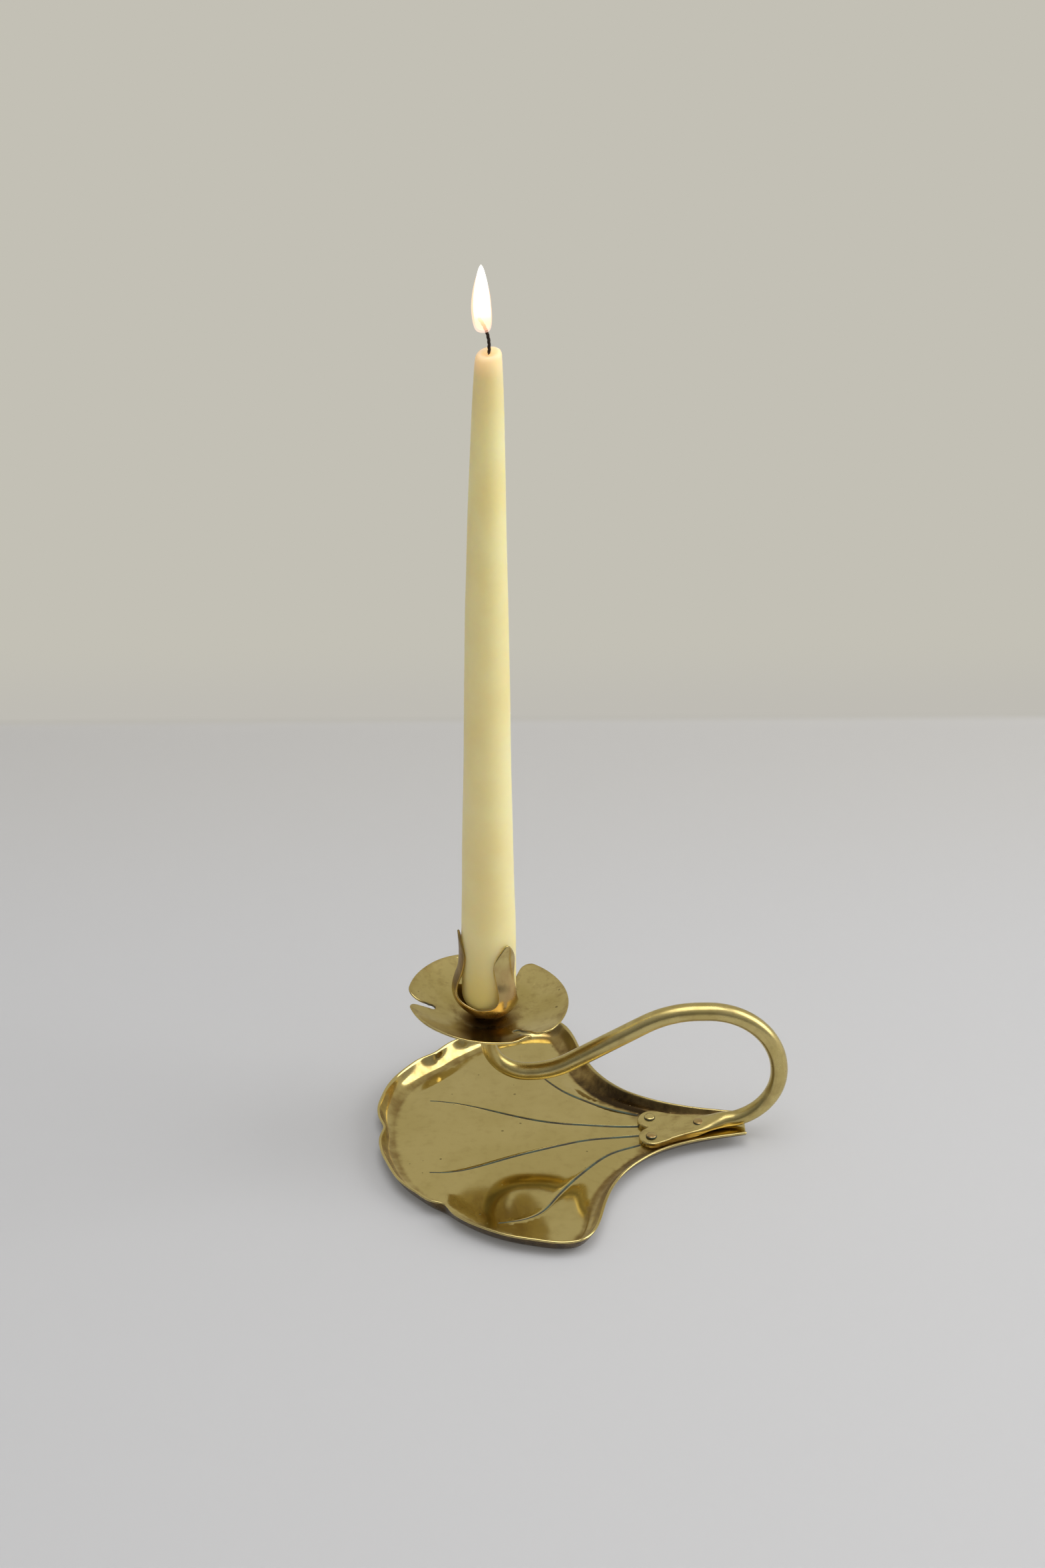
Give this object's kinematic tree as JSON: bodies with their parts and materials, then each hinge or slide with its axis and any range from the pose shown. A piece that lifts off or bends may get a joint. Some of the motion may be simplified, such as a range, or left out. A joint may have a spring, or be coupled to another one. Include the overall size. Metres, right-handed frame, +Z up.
{
  "type": "candlestick",
  "caption": "Leaf-shaped brass chamber candlestick with a looped rod handle, a petal drip pan, a sepal socket and a tapered candle that lifts out.",
  "frame": {"origin": "on the table, where the candle's axis meets the leaf tray's flat underside", "axes": "+Z up along the candle, +X along the leaf's stem towards the finger loop"},
  "size_m": [0.1793, 0.164, 0.3838],
  "materials": {
    "leaf_brass": "aged, polished and spotted",
    "handle_brass": "worn satin",
    "rivet_brass": "worn satin",
    "pan_brass": "aged satin",
    "cup_brass": "aged satin",
    "screw_brass": "turned",
    "wax": "smooth ivory wax",
    "burnt_cotton": "charred plait"
  },
  "bodies": {
    "stick": {"leaf_tray": "leaf_brass", "handle_rod": "handle_brass", "rivet_front": "rivet_brass", "rivet_back": "rivet_brass", "rivet_stem": "rivet_brass", "drip_pan": "pan_brass", "candle_cup": "cup_brass", "cup_screw": "screw_brass"},
    "candle": {"candle": "wax", "wick": "burnt_cotton"}
  },
  "joints": [
    {"name": "candle_lift", "type": "slide", "parent": "stick", "child": "candle", "axis": [0, 0, 1], "range_m": [0, 0.045]}
  ]
}
